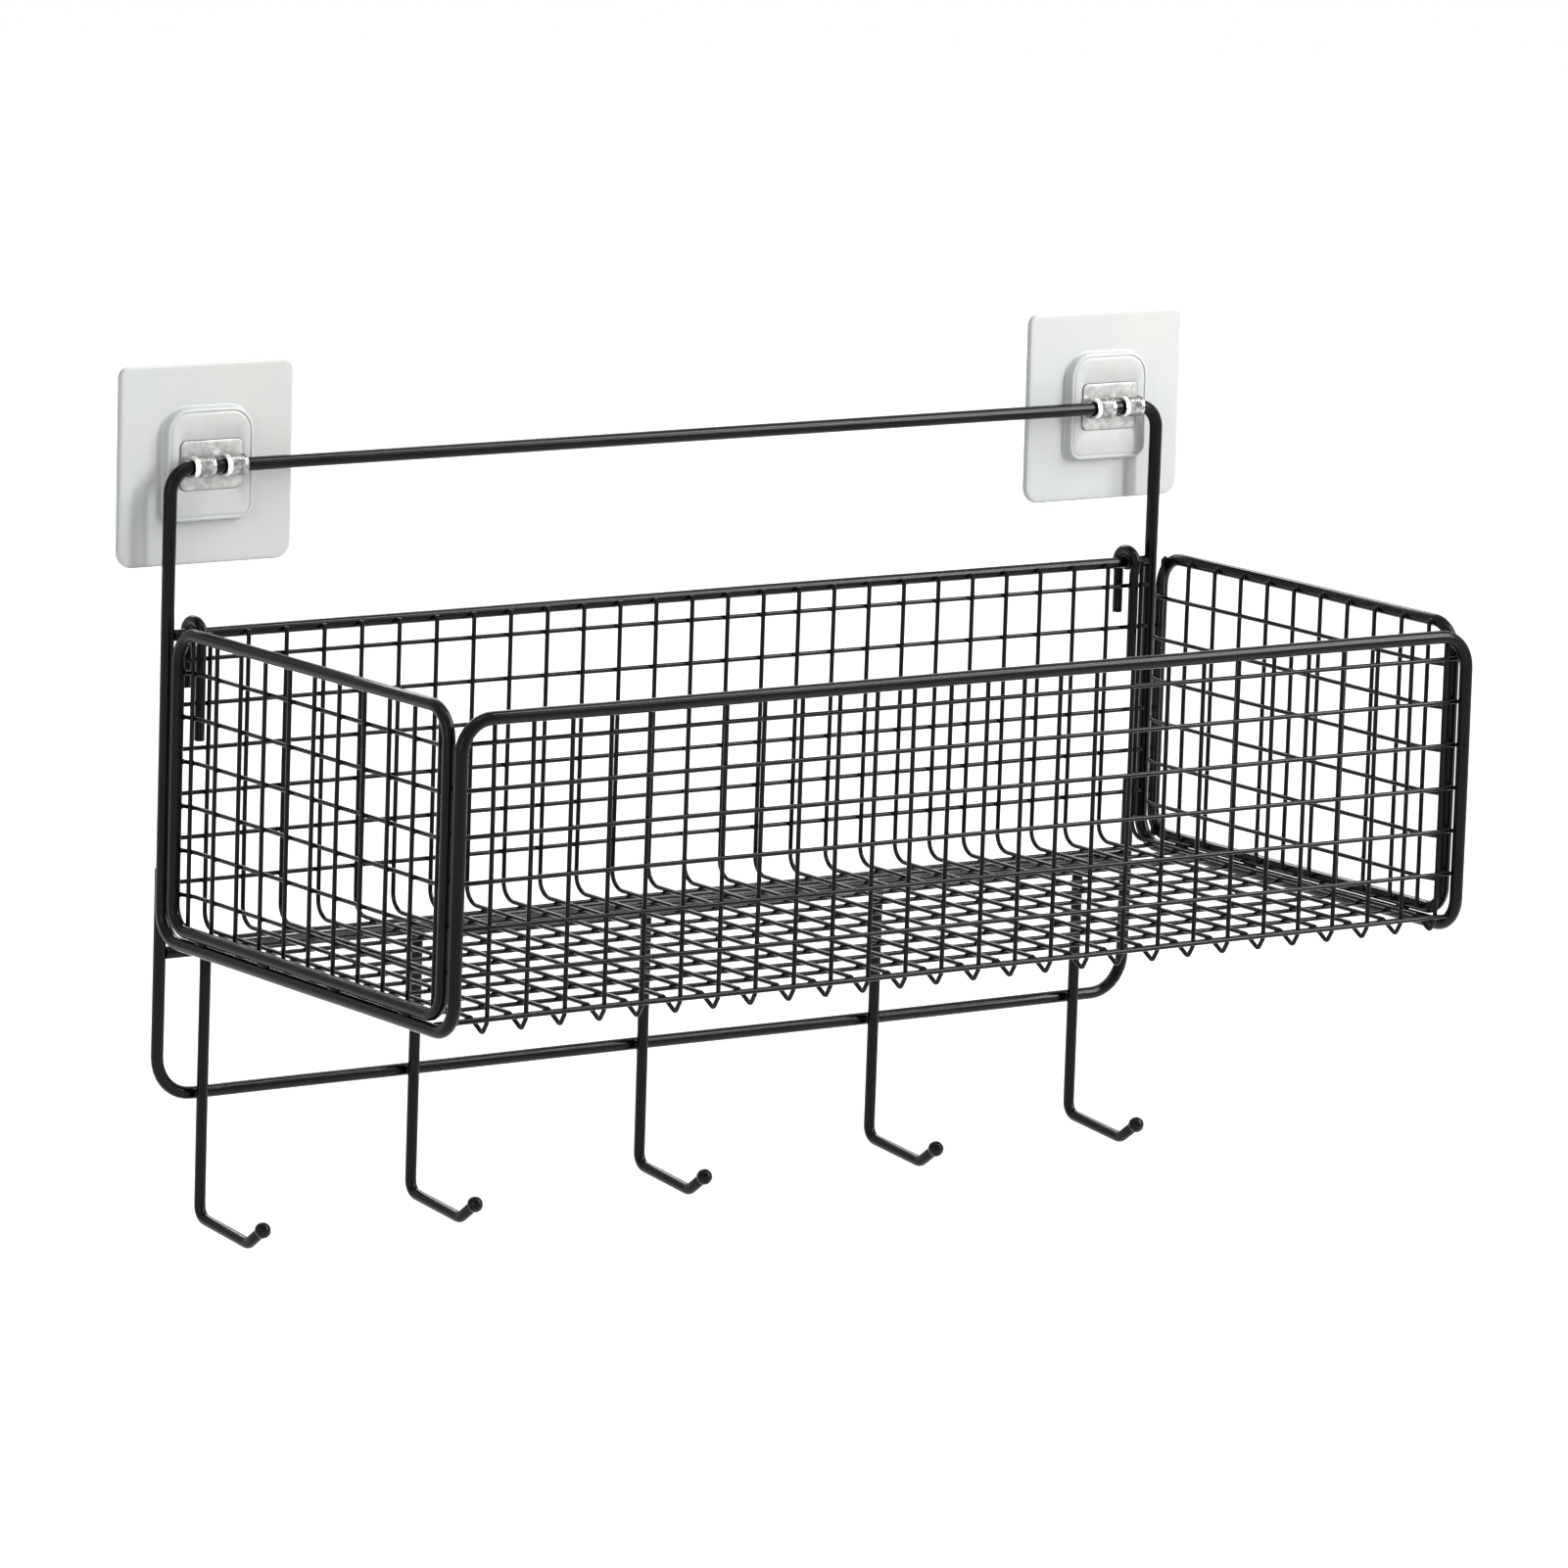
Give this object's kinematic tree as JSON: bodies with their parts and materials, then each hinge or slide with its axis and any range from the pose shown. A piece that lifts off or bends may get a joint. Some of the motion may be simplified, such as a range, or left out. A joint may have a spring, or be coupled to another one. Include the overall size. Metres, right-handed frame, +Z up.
{
  "type": "wall storage basket",
  "caption": "Wire mesh storage basket with open top, hung by a round rail in metal clips on clear adhesive wall pads, with a lower bar and ball-tipped hooks below.",
  "frame": {"origin": "on the wall plane, midway between the two wall pads, level with the rail's centre line", "axes": "+X along the basket to the viewer's right, +Y into the wall, +Z up"},
  "size_m": [0.426, 0.1825, 0.2834],
  "materials": {
    "black_wire": "semi-gloss black powder coat",
    "clip_metal": "bright bent sheet steel",
    "clear_plastic": "clear, faintly frosted",
    "adhesive": "clear double-sided adhesive sheet"
  },
  "bodies": {
    "wall_mounts": {"left_adhesive_sheet": "adhesive", "left_wall_pad": "clear_plastic", "left_pad_boss": "clear_plastic", "left_rail_clip": "clip_metal", "right_adhesive_sheet": "adhesive", "right_wall_pad": "clear_plastic", "right_pad_boss": "clear_plastic", "right_rail_clip": "clip_metal"},
    "rack": {"main_frame": "black_wire", "back_rim": "black_wire", "lower_hook_bar": "black_wire", "back_bottom_bar": "black_wire", "trough_mesh": "black_wire", "left_end_frame": "black_wire", "left_end_mesh": "black_wire", "left_rim_grip": "black_wire", "right_end_frame": "black_wire", "right_end_mesh": "black_wire", "right_rim_grip": "black_wire", "hook_1": "black_wire", "hook_2": "black_wire", "hook_3": "black_wire", "hook_4": "black_wire", "hook_5": "black_wire"}
  },
  "joints": [
    {"name": "rack_swing", "type": "hinge", "parent": "wall_mounts", "child": "rack", "pos_m": [0, -0.009, 0], "axis": [-1, 0, 0], "range_deg": [0, 100]}
  ]
}
